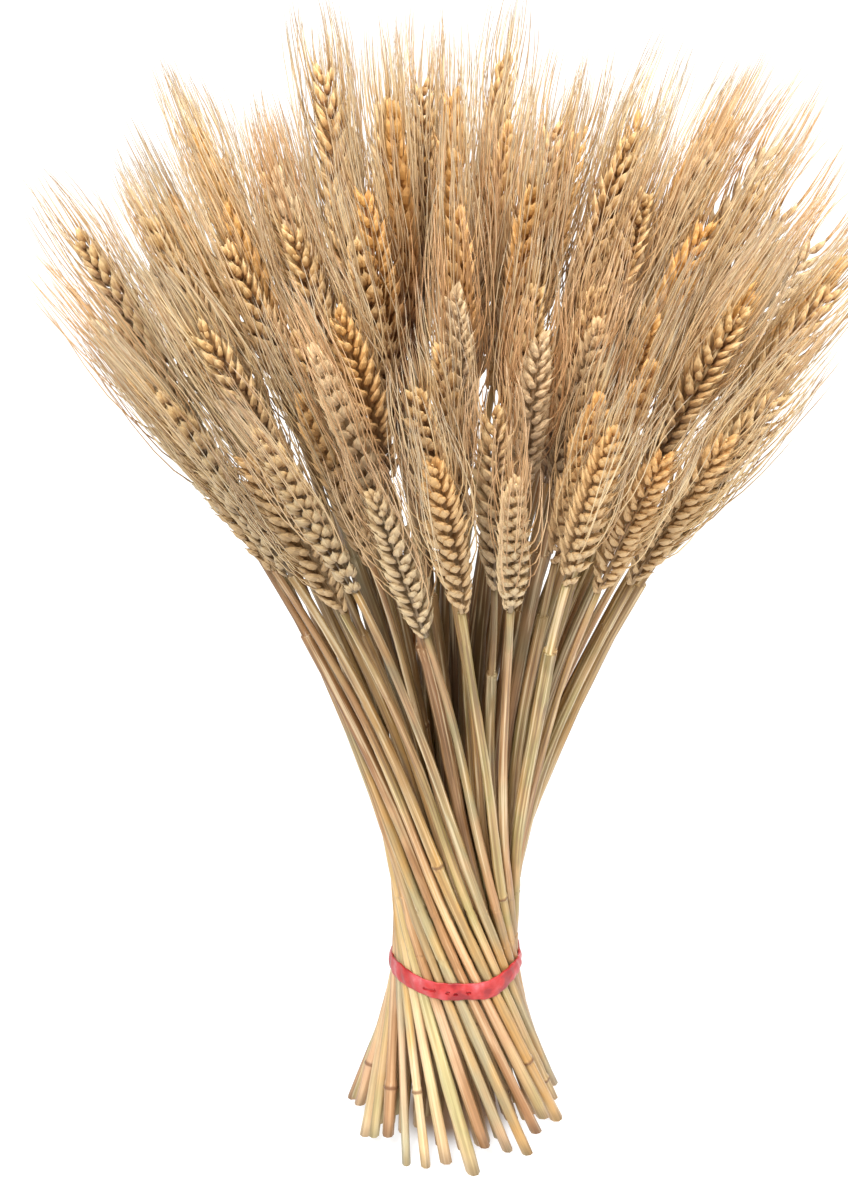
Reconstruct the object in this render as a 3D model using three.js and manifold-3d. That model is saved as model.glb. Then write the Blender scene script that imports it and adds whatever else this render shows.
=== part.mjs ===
// A bundle of dried bearded wheat that stands on its own splayed cut ends.
//
// One stretched rubber band presses 91 stalks together near their cut ends. They were twisted as
// they were gathered, so each stalk leans sideways past the band and the bundle opens both ways
// from there: down into a foot that it stands on, and up into a round head of ears. A stalk grew
// in one piece, so its stem, ear and awns are one solid. Each stalk of the two outer rings is a
// mesh of its own, and the stalks inside them, which only show as ears, are four groups, each
// joined where the band presses its stems against each other.
//
// Millimetres, +Z up, the floor at Z = 0 and the bundle's front at -Y.

import * as THREE from 'three';
import { mergeVertices } from 'three/addons/utils/BufferGeometryUtils.js';
import Module from 'manifold-3d';

// Driving dimensions: the bundle as a whole
const RINGS = 5; // rings of stalks round the one in the middle
const PITCH = 4.1; // from stalk to stalk at the waist
const WAIST_Z = 78; // where the bundle is thinnest, a little above the band
const FLARE = 0.0125; // how fast it opens above the waist, per mm
const FLARE_GAIN = 0.000039; // and how much faster with each mm higher
const FOOT_FLARE = 0.0195; // how fast it opens below the waist, per mm
const TWIST = 0.0185; // tangent of its turn, per mm from the waist
const HEAD_Z = 320; // height at which a stalk's own stray reaches its full size

// Driving dimensions: one stalk
const STEM_RADIUS = 1.9; // at the foot and under the band
const NECK_RADIUS = 1.25; // just below the ear
const STEM_LEVELS = [69, 112, 175]; // heights at which a stem's facets meet
const UPRIGHT_Z = 100; // up to here a stem's rings lie flat, so that its cut end is level
const SQUARE_Z = 150; // from here on they are square to the stem
const LONGEST_NECK_Z = 290; // where the ear starts in the middle of the bundle
const RIM_DROP = 32; // how much lower it starts in the outermost ring
const BACK_RISE = 9; // how much longer the stalks at the back are
const NECK_SPREAD = 15; // how much any stalk may be longer or shorter
const END_RISE = 10; // most that a cut end stays above the floor
const STRAY = 7; // most that an ear stands away from its place in the ring
const BOW = 1.6; // most that a stem bows out half way up

// Driving dimensions: an ear and its awns
const EAR_LENGTH = [74, 90];
const NECK_STEP = 2; // height over which the stem widens into the ear
const EAR_SIDE = 5.7; // half width across the two rows of spikelets
const EAR_FACE = 4.3; // half thickness
const SPIKELETS = 5; // in each row, larger than life
const SHOULDER = 0.72; // share of a spikelet's height at which it is widest
const SIDE_NOTCH = 0.6; // width between two spikelets, as a share of the width over them
const FACE_NOTCH = 0.78;
const AWN_RADIUS = 0.75; // at the root
const AWN_SINK = 0.03; // how deep it starts below the shoulder, as a share of the ear
const AWN_ROOT = 0.4; // how far off the ear's line it starts, as a share of the ear's width there
const AWN_OFF_RIDGE = 0.45; // angle from the column's ridge, so that it leaves through one facet
const TIP_RADIUS = 1.1; // of the ear's top, which ends in an awn of its own
const AWN_REACH = [18, 30]; // how far the middle awn stands past the tip of the ear
const SIDE_REACH = [0.7, 0.8, 0.9, 1]; // how far the other four do, as shares of that
const AWN_SPLAYS = [8, 6.5, 5, 3.5]; // how far its tip stands off the ear's line: the first one clear
const EAR_CLEAR = 7.1; // half the room that an ear needs
const TOP_CLEAR = 4; // how far past its tip it still needs that
const STEM_CLEAR = 1.6; // half the room that a stem needs among the ears
const AWN_CLEAR = 1.3; // room between two awns
const NEIGHBOUR_PITCHES = 2.3; // stalks nearer than this at the waist may meet in the head
const AWN_NEIGHBOURS = 60; // stalks nearer than this in the head may meet an awn
const PARTING_ROUNDS = 80;
const PARTING_STEP = 0.3; // share of a gap that is made up in one round

// Driving dimensions: the band
const BAND_Z = 65.5; // its lower edge
const BAND_HEIGHT = 7;
const BAND_WALL = 1.3;
const BAND_CROWN = 0.35; // how far its middle swells past its edges
const BAND_EDGE = 0.8; // height of its rounded edges
const BAND_GAP = 0.4; // between the band and the stalks that it presses
const BAND_SEGMENTS = 32;
const CONTACT_Z = 86; // where stems of one group touch, just above the band
const CONTACT_RADIUS = 1;
const CONTACT_POINT = 0.9; // share of a contact's length at which its point starts

const QUARTER = Math.PI / 2;
const UP = new THREE.Vector3(0, 0, 1);
const COLUMNS = 4; // a stalk is four columns of facets all the way up

const wasm = await Module();
wasm.setup();

// A seeded draw, so that the bundle is the same every time.
class Dice {
  constructor(seed) {
    this.state = seed;
  }

  roll(low, high) {
    this.state = (this.state * 1664525 + 1013904223) % 4294967296;
    return low + ((high - low) * this.state) / 4294967296;
  }

  // A step of up to `most` in any direction on the level.
  step(most) {
    const length = this.roll(0, most);
    const angle = this.roll(0, 2 * Math.PI);
    return [length * Math.cos(angle), length * Math.sin(angle)];
  }
}

// How wide the bundle is at a height, as a multiple of its waist, and how far it has turned.
function spread(z) {
  const rise = z - WAIST_Z;
  const flare = rise > 0 ? FLARE * rise + FLARE_GAIN * rise * rise : FOOT_FLARE * rise;
  return { scale: Math.hypot(1, flare), turn: -Math.atan(TWIST * rise) };
}

const FULL_OPENING = spread(HEAD_Z).scale - 1;

// The middle line of a stalk at a height. All stalks turn and part together, so none cross.
function line(stalk, z) {
  const { scale, turn } = spread(z);
  const reach = PITCH * stalk.ring * scale;
  const share = (Math.sign(z - WAIST_Z) * (scale - 1)) / FULL_OPENING;
  const climb = THREE.MathUtils.clamp((z - WAIST_Z) / (stalk.neck - WAIST_Z), 0, 1);
  const bend = Math.sin(Math.PI * climb) ** 2;
  return new THREE.Vector3(
    reach * Math.cos(stalk.angle + turn) + stalk.stray[0] * share + stalk.bow[0] * bend,
    reach * Math.sin(stalk.angle + turn) + stalk.stray[1] * share + stalk.bow[1] * bend,
    z,
  );
}

function direction(stalk, z) {
  return line(stalk, z + 1).sub(line(stalk, z - 1)).normalize();
}

// Each stalk's own draws: where it stands, how long it is and how it strays from its place.
function gather(dice) {
  const stalks = [];
  for (let ring = 0; ring <= RINGS; ring += 1) {
    const count = Math.max(1, 6 * ring);
    const phase = dice.roll(0, 1);
    for (let place = 0; place < count; place += 1) {
      const rim = ring / RINGS;
      const angle = (2 * Math.PI * (place + phase)) / count;
      const back = rim * Math.sin(angle + spread(HEAD_Z).turn);
      const stalk = { ring, place, angle, stray: dice.step(STRAY), bow: dice.step(BOW) };
      stalk.neck = LONGEST_NECK_Z - RIM_DROP * rim ** 1.5 + BACK_RISE * back;
      stalk.neck += dice.roll(-NECK_SPREAD, NECK_SPREAD);
      stalk.ear = dice.roll(...EAR_LENGTH);
      stalk.reach = dice.roll(...AWN_REACH);
      stalk.face = dice.roll(0, 2 * Math.PI);
      const cut = dice.roll(0, END_RISE);
      stalk.end = ring === RINGS && place % 3 === 0 ? 0 : cut;
      stalk.tip = stalk.neck + stalk.ear * direction(stalk, stalk.neck).z;
      stalks.push(stalk);
    }
  }
  return stalks;
}

// How much room a stalk needs to each side of its middle line at a height.
function room(stalk, z) {
  return z > stalk.neck - NECK_STEP && z < stalk.tip + TOP_CLEAR ? EAR_CLEAR : STEM_CLEAR;
}

// The gap that two neighbours still lack at a height, as the sideways move that would give it.
function shortfall(one, other, z) {
  const along = direction(one, z);
  const apart = line(one, z).sub(line(other, z));
  apart.addScaledVector(along, -apart.dot(along));
  const lack = room(one, z) + room(other, z) - apart.length();
  return lack > 0 ? apart.setLength(lack) : null;
}

// Stalks that stand side by side, or with one stalk between them, where the band holds them.
function neighbourPairs(stalks) {
  const pairs = [];
  stalks.forEach((one, index) => {
    for (const other of stalks.slice(0, index)) {
      const gap = line(one, WAIST_Z).distanceTo(line(other, WAIST_Z));
      if (gap < NEIGHBOUR_PITCHES * PITCH) pairs.push([one, other]);
    }
  });
  return pairs;
}

// Ears that would touch lean away from each other, a little at a time.
function partEars(stalks) {
  const pairs = neighbourPairs(stalks);
  for (let round = 0; round < PARTING_ROUNDS; round += 1) {
    for (const [one, other] of pairs) {
      const heights = [one.neck, one.tip, other.neck, other.tip];
      heights.push((one.neck + one.tip) / 2, (other.neck + other.tip) / 2);
      for (const z of heights) {
        const move = shortfall(one, other, z);
        if (!move) continue;
        const share = PARTING_STEP / Math.max(PARTING_STEP, (spread(z).scale - 1) / FULL_OPENING);
        one.stray[0] += move.x * share;
        one.stray[1] += move.y * share;
        other.stray[0] -= move.x * share;
        other.stray[1] -= move.y * share;
      }
    }
  }
}

// A point at an angle and a distance round a stalk's middle line.
function around(stalk, z, angle, radius) {
  const turn = new THREE.Quaternion();
  const square = new THREE.Quaternion().setFromUnitVectors(UP, direction(stalk, z));
  turn.slerp(square, THREE.MathUtils.smoothstep(z, UPRIGHT_Z, SQUARE_Z));
  const offset = new THREE.Vector3(Math.cos(angle), Math.sin(angle), 0).multiplyScalar(radius);
  return line(stalk, z).add(offset.applyQuaternion(turn));
}

// A closed solid from rings of points, bottom ring first, that ends in a point.
function loft(rings, apex) {
  const count = rings[0].length;
  const points = rings.flat();
  const tip = points.push(apex) - 1;
  const faces = [];
  for (let corner = 1; corner < count - 1; corner += 1) {
    faces.push(0, corner + 1, corner);
  }
  for (let side = 0; side < count; side += 1) {
    const next = (side + 1) % count;
    for (let level = 0; level < rings.length - 1; level += 1) {
      const low = level * count;
      const high = low + count;
      faces.push(low + side, low + next, high + side);
      faces.push(low + next, high + next, high + side);
    }
    const last = (rings.length - 1) * count;
    faces.push(last + side, last + next, tip);
  }
  return solid(points, faces);
}

function solid(points, faces) {
  const geometry = new THREE.BufferGeometry().setFromPoints(points);
  geometry.setIndex(faces);
  return toManifold(geometry);
}

function toManifold(geometry) {
  const bare = geometry.clone();
  bare.deleteAttribute('normal');
  bare.deleteAttribute('uv');
  const merged = mergeVertices(bare, 1e-4);
  return new wasm.Manifold(new wasm.Mesh({
    numProp: 3,
    vertProperties: new Float32Array(merged.attributes.position.array),
    triVerts: new Uint32Array(merged.index.array),
  }));
}

// How full the ear is at a share of its length: narrow at the neck, tapered to the tip.
function fullness(share) {
  const rise = Math.min(1, 0.6 + 2.2 * share);
  const taper = Math.max(0, (share - 0.5) / 0.5);
  return rise * (1 - 0.5 * taper * taper);
}

// The facet angle of a column. Each stem level turns by half a column, which rounds the stem.
function columnAngle(stalk, column, level) {
  return stalk.face + column * QUARTER + (level * QUARTER) / 2;
}

const EAR_LEVEL = STEM_LEVELS.length + 2;

function stemRings(stalk) {
  const top = stalk.neck - NECK_STEP;
  const heights = [stalk.end, ...STEM_LEVELS, top];
  return heights.map((z, level) => {
    const share = THREE.MathUtils.smoothstep(z, STEM_LEVELS[1], top);
    const radius = THREE.MathUtils.lerp(STEM_RADIUS, NECK_RADIUS, share);
    return [0, 1, 2, 3].map((column) => around(stalk, z, columnAngle(stalk, column, level), radius));
  });
}

// The share of the ear's length at which a column's spikelet starts or reaches its shoulder. The
// two rows of spikelets are the side columns, half a spikelet apart in height.
function earShare(column, level) {
  const phase = [0, 0.25, 0.5, 0.25][column];
  return (Math.floor(level / 2) + (level % 2) * SHOULDER + phase) / (SPIKELETS + 0.5);
}

// Each spikelet widens up to its shoulder and steps back in to the foot of the next one.
function earRadius(column, level) {
  const widest = column % 2 === 0 ? EAR_SIDE : EAR_FACE;
  const notch = column % 2 === 0 ? SIDE_NOTCH : FACE_NOTCH;
  if (level === 2 * SPIKELETS) return TIP_RADIUS;
  return widest * fullness(earShare(column, level)) * (level % 2 ? 1 : notch);
}

function earPoint(stalk, column, level) {
  const z = THREE.MathUtils.lerp(stalk.neck, stalk.tip, earShare(column, level));
  return around(stalk, z, columnAngle(stalk, column, EAR_LEVEL), earRadius(column, level));
}

function earRings(stalk) {
  const rings = [];
  for (let level = 0; level <= 2 * SPIKELETS; level += 1) {
    rings.push([0, 1, 2, 3].map((column) => earPoint(stalk, column, level)));
  }
  return rings;
}

const awns = []; // every awn so far, as its two ends and the stalk that it grows on

// Whether a straight awn stays clear of the other stalks near it and of the awns on them.
function isClear(stalk, root, end, neighbours) {
  for (let step = 0; step <= 10; step += 1) {
    const point = root.clone().lerp(end, step / 10);
    for (const other of neighbours) {
      const along = direction(other, point.z);
      const apart = point.clone().sub(line(other, point.z));
      apart.addScaledVector(along, -apart.dot(along));
      if (apart.length() < room(other, point.z) + AWN_RADIUS) return false;
    }
    for (const awn of awns) {
      if (awn.stalk === stalk) continue;
      const whole = new THREE.Line3(awn.root, awn.end);
      const nearest = whole.closestPointToPoint(point, true, new THREE.Vector3());
      if (nearest.distanceTo(point) < AWN_CLEAR) return false;
    }
  }
  return true;
}

// A three-sided awn that leaves the shoulder of a column's last spikelet.
function awnSolid(stalk, column, neighbours) {
  const angle = columnAngle(stalk, column, EAR_LEVEL) + AWN_OFF_RIDGE;
  const level = 2 * SPIKELETS - 1;
  const rootZ = THREE.MathUtils.lerp(stalk.neck, stalk.tip, earShare(column, level) - AWN_SINK);
  const endZ = stalk.tip + stalk.reach * SIDE_REACH[column] * direction(stalk, stalk.tip).z;
  const root = around(stalk, rootZ, angle, AWN_ROOT * earRadius(column, level));
  const ends = AWN_SPLAYS.map((splay) => around(stalk, endZ, angle, splay));
  const end = ends.find((candidate) => isClear(stalk, root, candidate, neighbours));
  if (!end) return null;
  awns.push({ stalk, root, end });
  const ring = [0, 1, 2].map((corner) => {
    const side = angle + (corner * 2 * Math.PI) / 3;
    return around(stalk, rootZ, side, AWN_RADIUS).sub(line(stalk, rootZ)).add(root);
  });
  return loft([ring], end);
}

function stalkSolid(stalk, stalks) {
  const neighbours = stalks.filter((other) => {
    return other !== stalk && line(other, HEAD_Z).distanceTo(line(stalk, HEAD_Z)) < AWN_NEIGHBOURS;
  });
  const apex = line(stalk, stalk.tip + stalk.reach * direction(stalk, stalk.tip).z);
  let whole = loft([...stemRings(stalk), ...earRings(stalk)], apex);
  for (let column = 0; column < COLUMNS; column += 1) {
    const awn = awnSolid(stalk, column, neighbours);
    if (awn) whole = whole.add(awn);
  }
  return whole;
}

// Where two stems are pressed together: a short bar from one middle line to the other, with a
// blunt point inside the other stem.
function contact(one, other) {
  const from = line(one, CONTACT_Z);
  const to = line(other, CONTACT_Z);
  const along = to.clone().sub(from).normalize();
  const turn = new THREE.Quaternion().setFromUnitVectors(UP, along);
  const rings = [from, from.clone().lerp(to, CONTACT_POINT)].map((centre) => [0, 1, 2].map((corner) => {
    const angle = (corner * 2 * Math.PI) / 3;
    const offset = new THREE.Vector3(Math.cos(angle), Math.sin(angle), 0).applyQuaternion(turn);
    return centre.clone().addScaledVector(offset, CONTACT_RADIUS);
  }));
  return loft(rings, to);
}

// A group of stalks, each joined to the nearest one before it.
function groupSolid(group, stalks) {
  const joined = [group[0]];
  const waiting = group.slice(1);
  let whole = stalkSolid(group[0], stalks);
  while (waiting.length) {
    const links = waiting.flatMap((one) => joined.map((other) => {
      return { one, other, gap: line(one, CONTACT_Z).distanceTo(line(other, CONTACT_Z)) };
    }));
    links.sort((a, b) => a.gap - b.gap);
    const { one, other } = links[0];
    whole = whole.add(stalkSolid(one, stalks)).add(contact(one, other));
    joined.push(one);
    waiting.splice(waiting.indexOf(one), 1);
  }
  return whole;
}

function toGeometry(manifold) {
  const mesh = manifold.getMesh();
  const geometry = new THREE.BufferGeometry();
  geometry.setAttribute('position', new THREE.BufferAttribute(mesh.vertProperties, 3));
  geometry.setIndex(new THREE.BufferAttribute(mesh.triVerts, 1));
  geometry.computeVertexNormals();
  return geometry;
}

// The band lies on the outermost stalks, so it is as conical as they are there.
function bandGeometry() {
  const inner = (z) => RINGS * PITCH * spread(z).scale + STEM_RADIUS + BAND_GAP;
  const top = BAND_Z + BAND_HEIGHT;
  const face = inner((BAND_Z + top) / 2) + BAND_WALL + BAND_CROWN;
  const profile = [
    new THREE.Vector2(inner(BAND_Z), BAND_Z),
    new THREE.Vector2(inner(BAND_Z) + BAND_WALL, BAND_Z),
    new THREE.Vector2(face, BAND_Z + BAND_EDGE),
    new THREE.Vector2(face, top - BAND_EDGE),
    new THREE.Vector2(inner(top) + BAND_WALL, top),
    new THREE.Vector2(inner(top), top),
    new THREE.Vector2(inner(BAND_Z), BAND_Z),
  ];
  return new THREE.LatheGeometry(profile, BAND_SEGMENTS).rotateX(QUARTER);
}

const strawColours = [0xd9b679, 0xcfae74, 0xe0c086, 0xc9a568];

function strawMaterial(index) {
  return new THREE.MeshStandardMaterial({
    color: strawColours[index % strawColours.length],
    roughness: 0.72,
    metalness: 0,
  });
}

function bandMaterial() {
  return new THREE.MeshStandardMaterial({ color: 0xd8323f, roughness: 0.38, metalness: 0 });
}

function addMesh(group, name, geometry, material) {
  const mesh = new THREE.Mesh(geometry, material);
  mesh.name = name;
  group.add(mesh);
}

const stalks = gather(new Dice(11));
partEars(stalks);

const bundle = new THREE.Group();
bundle.name = 'wheat_bundle';

function addStalks(name, group, colour) {
  addMesh(bundle, name, toGeometry(groupSolid(group, stalks)), strawMaterial(colour));
}

// The two outer rings, stalk by stalk.
stalks.filter((stalk) => stalk.ring >= RINGS - 1).forEach((stalk, index) => {
  const side = stalk.ring === RINGS ? 'outer' : 'inner';
  addStalks(`${side}_stalk_${String(stalk.place + 1).padStart(2, '0')}`, [stalk], index);
});

// The heart is the middle stalk and the ring round it. The two rings outside it are three thirds.
addStalks('core_stalks_heart', stalks.filter((stalk) => stalk.ring <= 1), 0);
['a', 'b', 'c'].forEach((letter, third) => {
  const isIn = (stalk) => Math.floor(stalk.place / (2 * stalk.ring)) === third;
  const rings = stalks.filter((stalk) => stalk.ring === 2 || stalk.ring === 3);
  addStalks(`core_stalks_${letter}`, rings.filter(isIn), third + 1);
});

addMesh(bundle, 'band', bandGeometry(), bandMaterial());

// The head is not quite round, so the bundle moves until its box's middle is over the origin.
const middle = new THREE.Box3().setFromObject(bundle).getCenter(new THREE.Vector3());
bundle.position.set(-middle.x, -middle.y, 0);

export default bundle;
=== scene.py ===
# %% [markdown]
# # A bundle of dried wheat
#
# A bundle like this is bought for a vase or a shop window: about ninety ripe stalks of bearded
# wheat, twisted a little as they were gathered and held by one red rubber band. Each stalk is a
# hollow straw with an ear on it, and each ear is two rows of husked spikelets with long awns.
# The frame already says where each stalk stands. This lesson models one husk, one awn, one straw
# and one band, and then lets a few short loops grow the bundle from them.

# %% Load the frame
import cmath
import functools
import math

import bmesh
import bpy
import numpy as np
from mathutils import Matrix, Vector


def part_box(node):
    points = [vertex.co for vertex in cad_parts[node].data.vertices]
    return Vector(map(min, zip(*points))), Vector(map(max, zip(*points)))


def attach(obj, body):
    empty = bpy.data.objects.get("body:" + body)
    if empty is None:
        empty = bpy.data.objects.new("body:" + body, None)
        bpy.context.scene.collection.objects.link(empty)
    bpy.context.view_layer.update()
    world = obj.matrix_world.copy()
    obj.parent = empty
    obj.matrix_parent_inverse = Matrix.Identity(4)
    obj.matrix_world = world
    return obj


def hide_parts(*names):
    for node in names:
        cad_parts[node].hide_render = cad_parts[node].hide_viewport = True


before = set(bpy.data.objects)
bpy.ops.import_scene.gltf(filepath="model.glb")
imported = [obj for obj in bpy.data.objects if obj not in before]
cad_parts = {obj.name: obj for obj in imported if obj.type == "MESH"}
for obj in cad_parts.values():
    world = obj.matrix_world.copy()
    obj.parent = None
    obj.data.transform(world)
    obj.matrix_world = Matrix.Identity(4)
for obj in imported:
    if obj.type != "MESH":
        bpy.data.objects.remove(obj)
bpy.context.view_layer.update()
band_low, band_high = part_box("band")
axis = (band_low + band_high) / 2
print("the bundle's axis stands at", [round(value, 4) for value in axis.xy])

# %% [markdown]
# ## The camera
#
# The photograph looks down on the bundle from about a metre away. Its focal length is kept in
# pixels of the 848 by 1200 frame, because that is how it was measured, and turned into
# millimetres of a 36 mm sensor, which Blender lays along the longer side of the picture.

# %% Place the camera
PHOTO_HEIGHT = 1200
FOCAL_PIXELS = 3244
SENSOR = 36.0
CAMERA_DISTANCE = 0.95
CAMERA_HEIGHT = 0.7466
CAMERA_LEFT = 0.0112
CAMERA_PITCH = math.radians(29.29)
VIEW_END = 60  # metres, past the far edge of the floor


def place_camera():
    bpy.ops.object.select_all(action="DESELECT")
    place = (axis.x - CAMERA_LEFT, axis.y - CAMERA_DISTANCE, CAMERA_HEIGHT)
    tilt = (math.pi / 2 - CAMERA_PITCH, 0, 0)
    bpy.ops.object.camera_add(location=place, rotation=tilt)
    camera = bpy.context.object
    camera.name = "camera"
    camera.data.sensor_width = SENSOR
    camera.data.lens = SENSOR * FOCAL_PIXELS / PHOTO_HEIGHT
    camera.data.clip_end = VIEW_END
    bpy.context.scene.camera = camera
    print("lens", round(camera.data.lens, 1), "mm")


place_camera()

# %% [markdown]
# ## Sums of sockets
#
# Every finish here is mixed from nodes, and shader maths reads best as plain sums. So a small
# class wraps a socket, and adding or multiplying two wrapped sockets adds the Math node that
# does it. Colours are given as on a colour chart and turned into the linear values that shaders
# take.

# %% Wires
def colour(red, green, blue):
    """A colour given as on a colour chart, in the linear values that shaders take."""
    shares = [value / 255 for value in (red, green, blue)]
    linear = [s / 12.92 if s <= 0.04045 else ((s + 0.055) / 1.055) ** 2.4 for s in shares]
    return (*linear, 1)


class Wire:
    """A socket that can be used in sums."""

    def __init__(self, finish, socket):
        self.finish = finish
        self.socket = socket

    def maths(self, operation, *values):
        return self.finish.node("ShaderNodeMath", {"operation": operation}, dict(enumerate(values)))

    def __add__(self, other):
        return self.maths("ADD", self, other)

    def __sub__(self, other):
        return self.maths("SUBTRACT", self, other)

    def __rsub__(self, other):
        return self.maths("SUBTRACT", other, self)

    def __mul__(self, other):
        return self.maths("MULTIPLY", self, other)

    __radd__ = __add__
    __rmul__ = __mul__


print("a mid grey is", round(colour(128, 128, 128)[0], 3), "of the light")

# %% [markdown]
# ## A material under construction
#
# A second class holds a material while it is mixed. Any node comes from its one method node, and
# the few that come back in every finish, such as a noise, a ramp or a blend of two colours, have
# a short name of their own.

# %% Finishes
class Finish:
    """A material under construction."""

    def __init__(self, name):
        self.material = bpy.data.materials.new(name)
        self.material.use_nodes = True
        self.tree = self.material.node_tree
        self.shader = self.tree.nodes["Principled BSDF"]

    def node(self, kind, settings, sockets, output=0):
        """Adds a node: its settings first, then the values or links of its sockets."""
        made = self.tree.nodes.new(kind)
        for name, value in settings.items():
            if name == "stops":
                self.set_stops(made.color_ramp, value)
            else:
                setattr(made, name, value)
        for name, value in sockets.items():
            self.feed(made.inputs[name], value)
        return Wire(self, made.outputs[output])

    def set_stops(self, ramp, stops):
        while len(ramp.elements) < len(stops):
            ramp.elements.new(1)
        for element, (position, shade) in zip(ramp.elements, stops):
            element.position = position
            element.color = shade

    def feed(self, socket, value):
        if isinstance(value, Wire):
            self.tree.links.new(value.socket, socket)
        else:
            socket.default_value = value

    def set(self, **sockets):
        """Sets the shader's own sockets, with low lines for the blanks in their names."""
        for name, value in sockets.items():
            self.feed(self.shader.inputs[name.replace("_", " ")], value)

    def note(self, name, output="Fac"):
        """A note that the points carry."""
        return self.node("ShaderNodeAttribute", {"attribute_name": name}, {}, output)

    def place(self):
        return self.node("ShaderNodeTexCoord", {}, {}, "Object")

    def along(self, way):
        """Where a point is along one of the frame's three ways."""
        return self.node("ShaderNodeSeparateXYZ", {}, {0: self.place()}, way)

    def height(self):
        return self.along("Z")

    def stretch(self, vector, scales):
        return self.node("ShaderNodeVectorMath", {"operation": "MULTIPLY"}, {0: vector, 1: scales})

    def noise(self, vector, scale, detail=2.0):
        sockets = {"Vector": vector, "Scale": scale, "Detail": detail}
        return self.node("ShaderNodeTexNoise", {}, sockets)

    def ramp(self, wire, stops):
        return self.node("ShaderNodeValToRGB", {"stops": stops}, {"Fac": wire})

    def step(self, wire, low, high):
        """Nought below low and one above high, or the other way round."""
        sockets = {"Value": wire, "From Min": low, "From Max": high}
        return self.node("ShaderNodeMapRange", {"interpolation_type": "SMOOTHSTEP"}, sockets)

    def blend(self, share, one, other, kind="MIX"):
        settings = {"data_type": "RGBA", "blend_type": kind}
        return self.node("ShaderNodeMix", settings, {0: share, 6: one, 7: other}, 2)

    def tint(self, share, one, other):
        """Darkens one colour by another, multiplying them; most uses here paint shade."""
        return self.blend(share, one, other, "MULTIPLY")

    def bump(self, wire, strength, distance):
        sockets = {"Height": wire, "Strength": strength, "Distance": distance}
        self.set(Normal=self.node("ShaderNodeBump", {}, sockets))


print("ready to mix finishes")

# %% [markdown]
# ## The floor
#
# The photograph has no room in it and no shadow on the ground: the bundle stands on pure white.
# A plane that glows by itself gives that white and takes no shadow, as a lit table does. Only
# right under the bundle do the cut ends keep the light off it, so there the glow fades to brown
# towards the axis. The plane is stage and not a piece of the object, and so wide that its edge is
# far off in every view.

# %% Lay the floor
FLOOR_SIZE = 20.0
PAPER_GLOW = 0.85
FOOT_SHADE = (0.012, 0.027)  # the radii between which the glow grows to full


def mix_paper():
    paper = Finish("white_paper")
    centre = (axis.x, axis.y, 0)
    sockets = {0: paper.place(), 1: centre}
    away = paper.node("ShaderNodeVectorMath", {"operation": "DISTANCE"}, sockets, "Value")
    glow = paper.blend(paper.step(away, *FOOT_SHADE), colour(112, 85, 63), colour(255, 255, 255))
    paper.set(Base_Color=colour(149, 149, 149), Roughness=0.9)
    paper.set(Emission_Color=glow, Emission_Strength=PAPER_GLOW)
    return paper.material


def lay_floor():
    bpy.ops.object.select_all(action="DESELECT")
    bpy.ops.mesh.primitive_plane_add(size=FLOOR_SIZE, location=(0, 0, 0))
    floor = bpy.context.object
    floor.name = "floor"
    floor.data.materials.append(mix_paper())
    print("the floor is", FLOOR_SIZE, "m wide")


lay_floor()

# %% [markdown]
# ## The lights
#
# One light from the upper left shapes the straws, and a weaker one from the right keeps the
# shadows brown and not black. The awns shade the ears behind them, so a large light overhead and
# one behind reach those too. All are area lights, whose soft edge suits a studio.

# %% Hang the lights
# Name, place, size in metres, power in watts, and tone
LIGHTS = [
    ("key_light", (-0.45, -1.5, 1.8), 0.5, 54, (1, 0.97, 0.93)),
    ("fill_light", (1.15, -0.95, 2.0), 1.0, 34, (1, 0.96, 0.9)),
    ("top_light", (0.35, -0.45, 2.2), 1.6, 26, (1, 0.99, 0.97)),
    ("back_light", (0.4, 1.7, 1.6), 1.2, 13, (1, 0.98, 0.94)),
]
LIT_PLACE = Vector((0, 0, 0.22))
ROOM_COLOUR = (1, 0.9, 0.78, 1)
ROOM_LIGHT = 0.37


def hang_light(name, place, size, power, tone):
    """A square light that faces the middle of the bundle's height."""
    bpy.ops.object.select_all(action="DESELECT")
    bpy.ops.object.light_add(type="AREA", location=place)
    light = bpy.context.object
    light.name = name
    light.data.size = size
    light.data.energy = power
    light.data.color = tone
    towards = LIT_PLACE - Vector(place)
    light.rotation_euler = towards.to_track_quat("-Z", "Y").to_euler()
    print(name, power, "W")


def light_room():
    world = bpy.data.worlds.new("studio")
    world.use_nodes = True
    world.node_tree.nodes["Background"].inputs["Color"].default_value = ROOM_COLOUR
    world.node_tree.nodes["Background"].inputs["Strength"].default_value = ROOM_LIGHT
    bpy.context.scene.world = world


for light in LIGHTS:
    hang_light(*light)
light_room()
bpy.context.scene.view_settings.view_transform = "Standard"

# %% [markdown]
# ## How the bundle opens
#
# A bundle that is twisted as it is tied takes the shape of an hourglass. It is narrowest at its
# waist, opens above it into the head and below it into the foot, and turns all the way. One
# function gives both for any height, and every stalk follows it.

# %% Measure the hourglass, in metres
PITCH = 0.0041  # from one ring of stalks to the next at the waist
WAIST = 0.078
FLARE = 12.5
FLARE_GAIN = 39.0
FOOT_FLARE = 19.5
TWIST = 18.5
HEAD = 0.320


@functools.lru_cache(maxsize=None)
def spread(height):
    """How wide the bundle is at a height, as a multiple of its waist, and how far it has turned."""
    rise = height - WAIST
    flare = FLARE * rise + FLARE_GAIN * rise * rise if rise > 0 else FOOT_FLARE * rise
    return math.hypot(1, flare), -math.atan(TWIST * rise)


FULL_OPENING = spread(HEAD)[0] - 1
print("at its head the bundle is", round(spread(HEAD)[0], 1), "times as wide as at its waist")

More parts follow.
